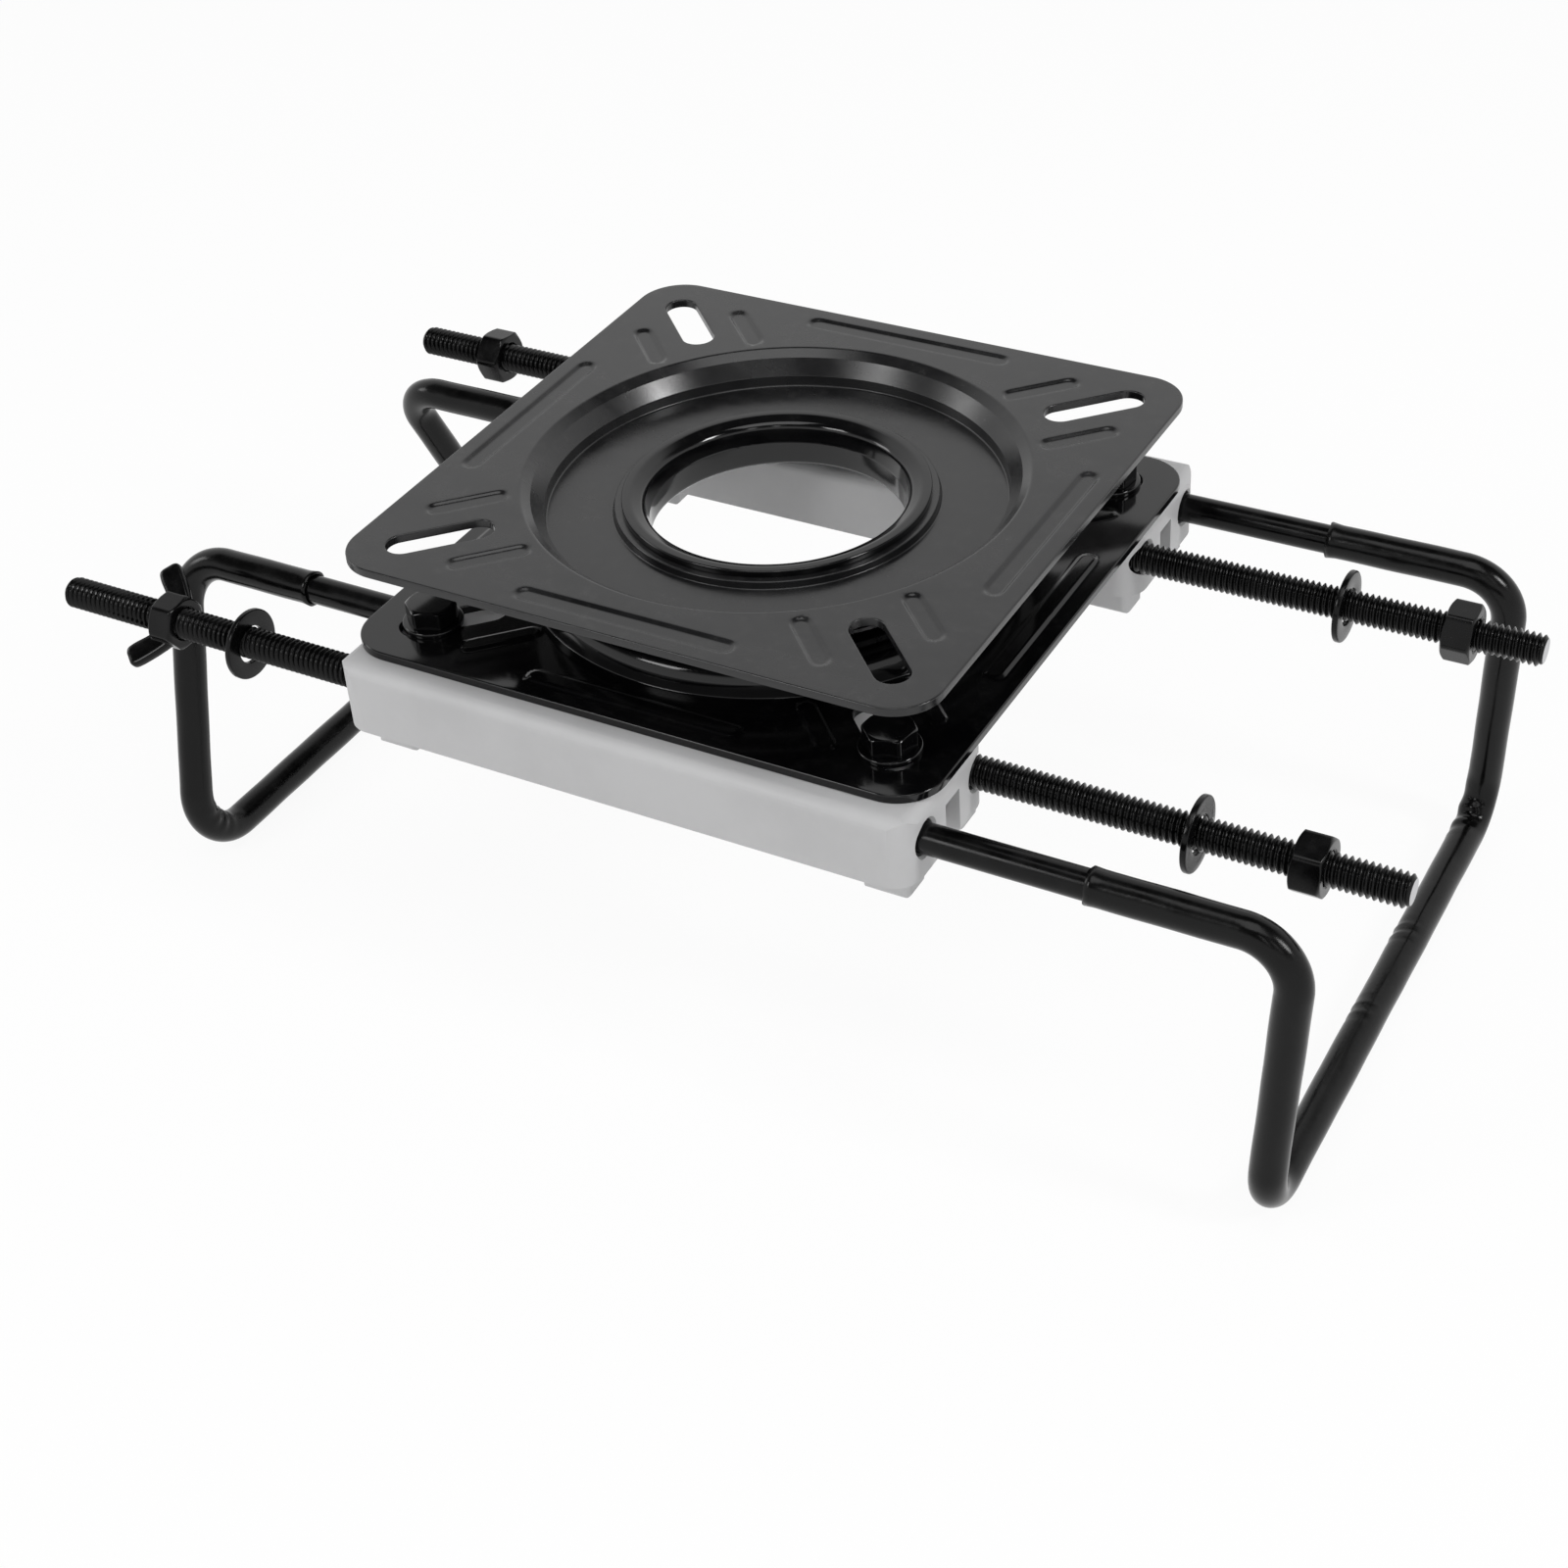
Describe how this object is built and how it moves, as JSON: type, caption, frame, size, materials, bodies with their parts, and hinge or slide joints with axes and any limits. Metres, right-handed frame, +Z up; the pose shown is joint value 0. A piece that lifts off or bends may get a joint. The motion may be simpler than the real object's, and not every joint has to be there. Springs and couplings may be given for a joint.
{
  "type": "swivel seat base",
  "caption": "Clamp-on swivel base for a bench seat: slotted pressed plate turning on a ball race over bolted plastic bars, gripped to the bench by sleeved hook rods.",
  "frame": {"origin": "on the swivel axis, level with the undersides of the bars' feet, which is the top of the bench", "axes": "+X along the rods towards the wide hook, +Y across to the rear bar, +Z up along the swivel axis"},
  "size_m": [0.395, 0.1956, 0.13],
  "materials": {
    "plate_satin_black": "satin powder coat",
    "gloss_black": "gloss",
    "bar_grey": "fine-grained moulded",
    "rod_black": "satin black plating",
    "vinyl_black": "semi-gloss vinyl",
    "bare_steel": "oiled steel"
  },
  "bodies": {
    "base": {"lower_plate": "gloss_black", "front_bar": "bar_grey", "rear_bar": "bar_grey", "plate_bolts": "gloss_black", "bolt_washers": "gloss_black", "bolt_nuts": "bare_steel"},
    "seat_plate": {"top_plate": "plate_satin_black", "centre_ring": "gloss_black"},
    "ball_race": {"ball_cage": "bare_steel", "bearing_balls": "bare_steel"},
    "wide_hook": {"right_hook": "rod_black", "right_sleeve": "vinyl_black"},
    "narrow_hook": {"left_hook": "rod_black", "left_sleeve": "vinyl_black"},
    "nut_fl": {"wing_nut": "rod_black"},
    "nut_rl": {"nut_rear_left": "rod_black"},
    "nut_fr": {"nut_front_right": "rod_black"},
    "nut_rr": {"nut_rear_right": "rod_black"},
    "washer_fl": {"washer_front_left": "rod_black"},
    "washer_rl": {"washer_rear_left": "rod_black"},
    "washer_fr": {"washer_front_right": "rod_black"},
    "washer_rr": {"washer_rear_right": "rod_black"}
  },
  "joints": [
    {"name": "seat_swivel", "type": "hinge", "parent": "base", "child": "seat_plate", "pos_m": [0, 0, 0.0435], "axis": [0, 0, 1], "continuous": true},
    {"name": "race_turn", "type": "hinge", "parent": "base", "child": "ball_race", "pos_m": [0, 0, 0.0435], "axis": [0, 0, 1], "continuous": true},
    {"name": "wide_hook_slide", "type": "slide", "parent": "base", "child": "wide_hook", "axis": [1, 0, 0], "range_m": [-0.0435, 0.02]},
    {"name": "narrow_hook_slide", "type": "slide", "parent": "base", "child": "narrow_hook", "axis": [-1, 0, 0], "range_m": [-0.0365, 0.02]},
    {"name": "wing_nut_run", "type": "slide", "parent": "wide_hook", "child": "nut_fl", "axis": [-1, 0, 0], "range_m": [-0.01, 0.02]},
    {"name": "rear_left_nut_run", "type": "slide", "parent": "wide_hook", "child": "nut_rl", "axis": [-1, 0, 0], "range_m": [-0.014, 0.02]},
    {"name": "front_right_nut_run", "type": "slide", "parent": "narrow_hook", "child": "nut_fr", "axis": [1, 0, 0], "range_m": [-0.01, 0.015]},
    {"name": "rear_right_nut_run", "type": "slide", "parent": "narrow_hook", "child": "nut_rr", "axis": [1, 0, 0], "range_m": [-0.01, 0.015]},
    {"name": "front_left_washer_run", "type": "slide", "parent": "wide_hook", "child": "washer_fl", "axis": [-1, 0, 0], "range_m": [-0.012, 0.01]},
    {"name": "rear_left_washer_run", "type": "slide", "parent": "wide_hook", "child": "washer_rl", "axis": [-1, 0, 0], "range_m": [-0.005, 0.016]},
    {"name": "front_right_washer_run", "type": "slide", "parent": "narrow_hook", "child": "washer_fr", "axis": [1, 0, 0], "range_m": [-0.03, 0.014]},
    {"name": "rear_right_washer_run", "type": "slide", "parent": "narrow_hook", "child": "washer_rr", "axis": [1, 0, 0], "range_m": [-0.03, 0.014]}
  ],
  "couplings": [
    {"joint": "race_turn", "follows": "seat_swivel", "ratio": 0.5}
  ]
}
